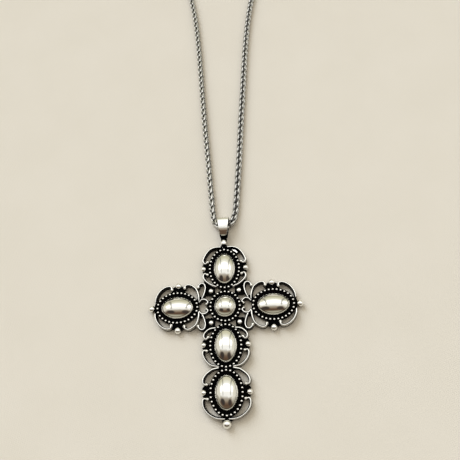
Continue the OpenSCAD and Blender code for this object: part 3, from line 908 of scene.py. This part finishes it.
def build_chain():
    c = smooth_run(RIGHT_SIDE + MIDDLE + LEFT_SIDE, 0.1)
    s = np.r_[0, np.cumsum(np.linalg.norm(np.diff(c, axis=0), axis=1))]
    total = s[-1]
    count = int(total / PITCH)
    sample = np.arange(0, total, 0.1)
    c = np.c_[[np.interp(sample, s, c[:, k]) for k in range(3)]].T
    t = headings(c)
    side = np.cross(t, [0, 0, 1.0])
    side /= np.linalg.norm(side, axis=1)[:, None]
    up = np.cross(side, t)
    # how far the chain is rolled about its own line
    bail_at = sample[np.argmin(np.abs(c[:, 0] + 0.0) + np.abs(c[:, 1] - 26.8))]
    roll = np.radians(np.interp(sample, [0, bail_at - 4, bail_at + 4, total], [20, 20, -12, -12]))
    roll = roll + np.radians(4) * np.sin(sample / 23.0)
    front = up * np.cos(roll)[:, None] + side * np.sin(roll)[:, None]
    flank = np.cross(t, front)

    def at(pos):
        i = np.clip(pos / 0.1, 0, len(sample) - 1.001)
        lo = i.astype(int)
        w = (i - lo)[:, None]
        return [m[lo] * (1 - w) + m[lo + 1] * w for m in (c, front, flank)]

    loop = smooth_run(LINK, 0.22, closed=True)
    k, m = 8, len(loop)
    tan = headings(loop, closed=True)
    # a steady frame round the loop: one side vector points away from the chain's own line
    away = loop * np.array([0, 1, 1]) + 1e-6
    away -= (away * tan).sum(1)[:, None] * tan
    away /= np.linalg.norm(away, axis=1)[:, None]
    other = np.cross(tan, away)
    grain = np.repeat(tan, k, axis=0)
    tube = np.array([[loop[i] + LINK_WIRE / 2 * (away[i] * math.cos(2 * math.pi * j / k) + other[i] * math.sin(2 * math.pi * j / k))
                      for j in range(k)] for i in range(m)]).reshape(-1, 3)
    faces = np.array(tube_faces(m, k, closed=True))
    # the inner part of each link, where the links lie across each other, is painted dark: partly oxide in the chain's
    # hollows, partly painted shade
    radius = np.linalg.norm(tube * [0, 1, 1], axis=1)
    deep = np.interp(radius, [0.36, 0.70], [0.0, 1.0])
    parts = {"chain_right": [], "chain_left": []}
    oxide_and_painted_light = {"chain_right": [], "chain_left": []}
    for n in range(count):
        mid = (n + 0.5) * total / count
        (a, f, g), (ta, tf, tg) = tube.T, grain.T
        if n % 2:
            f, g, tf, tg = -g, f, -tg, tf
        p, fr, fl = at(mid - a)
        name = "chain_right" if mid < bail_at else "chain_left"
        parts[name].append(p + fr * f[:, None] + fl * g[:, None])
        # painted highlight: each link is painted brighter along one of its two arms, on the same hand all round the
        # chain, and the right strand is painted darker than the left as painted shade
        line = np.cross(fr, fl)
        line = line * np.where(line[:, 1:2] < 0, -1.0, 1.0)
        way = -np.cross(fr, fl) * ta[:, None] + fr * tf[:, None] + fl * tg[:, None]
        way = way * np.where((way * line).sum(1) < 0, -1.0, 1.0)[:, None]
        lean = line[:, 1] * way[:, 0] - line[:, 0] * way[:, 1]
        dim, top = (0.39, 0.57) if name == "chain_right" else (0.42, 1.0)
        oxide_and_painted_light[name].append(deep * np.interp(lean, [-1.0, -0.75, -0.15, 0.10], [0.5 * (dim + top), dim, dim, top]))
    for name, links in parts.items():
        v = np.vstack(links)
        fs = np.vstack([faces + i * len(tube) for i in range(len(links))])
        me = bpy.data.meshes.new(name)
        me.from_pydata(((v + SHIFT) * MM).tolist(), [], fs.tolist())
        me.update()
        ob = add_object(name, me)
        set_polish_and_painted_light(me, np.concatenate(oxide_and_painted_light[name]))
        for poly in me.polygons:
            poly.use_smooth = True
        me.materials.append(mat_chain)
        # outward normals
        bm = bmesh.new()
        bm.from_mesh(me)
        bmesh.ops.recalc_face_normals(bm, faces=bm.faces)
        bm.to_mesh(me)
        bm.free()
        finish_piece(ob, "chain_silver", "chain")
        print(name, "links", len(links), "triangles", 2 * len(fs))


build_chain()


# ---------------------------------------------------------------- the clasp
def build_clasp():
    """A plain turned barrel with rounded ends, a seam at its middle and a blind bore in each end."""
    half = [(0.0, 3.0), (1.15, 3.0), (1.15, 5.35), (1.18, 5.46), (1.25, 5.5), (1.33, 5.46), (1.38, 5.35), (1.40, 5.1), (1.44, 4.6),
            (1.36, 4.5), (1.36, 4.35), (1.46, 4.25), (1.49, 3.0), (1.5, 1.5), (1.5, 0.12), (1.44, 0.04)]
    run = half + [(r, -x) for r, x in half[::-1]]
    k = 64
    v = []
    for r, x in run[1:-1]:
        for j in range(k):
            a = 2 * math.pi * j / k
            v.append((0.4 + x, 233.2 + r * math.cos(a), 1.5 + r * math.sin(a)))
    f = tube_faces(len(run) - 2, k)
    me = to_mesh("barrel_clasp", [Shell(v, f)])
    ob = add_object("barrel_clasp", me)
    me.materials.append(mat_bright)
    shade(me, 30)
    finish_piece(ob, "bright_silver", "clasp")


build_clasp()

# ---------------------------------------------------------------- view settings
scene.view_settings.view_transform = "Standard"
scene.view_settings.look = "None"
scene.view_settings.exposure = 0.0
scene.view_settings.gamma = 1.0

bpy.context.view_layer.update()
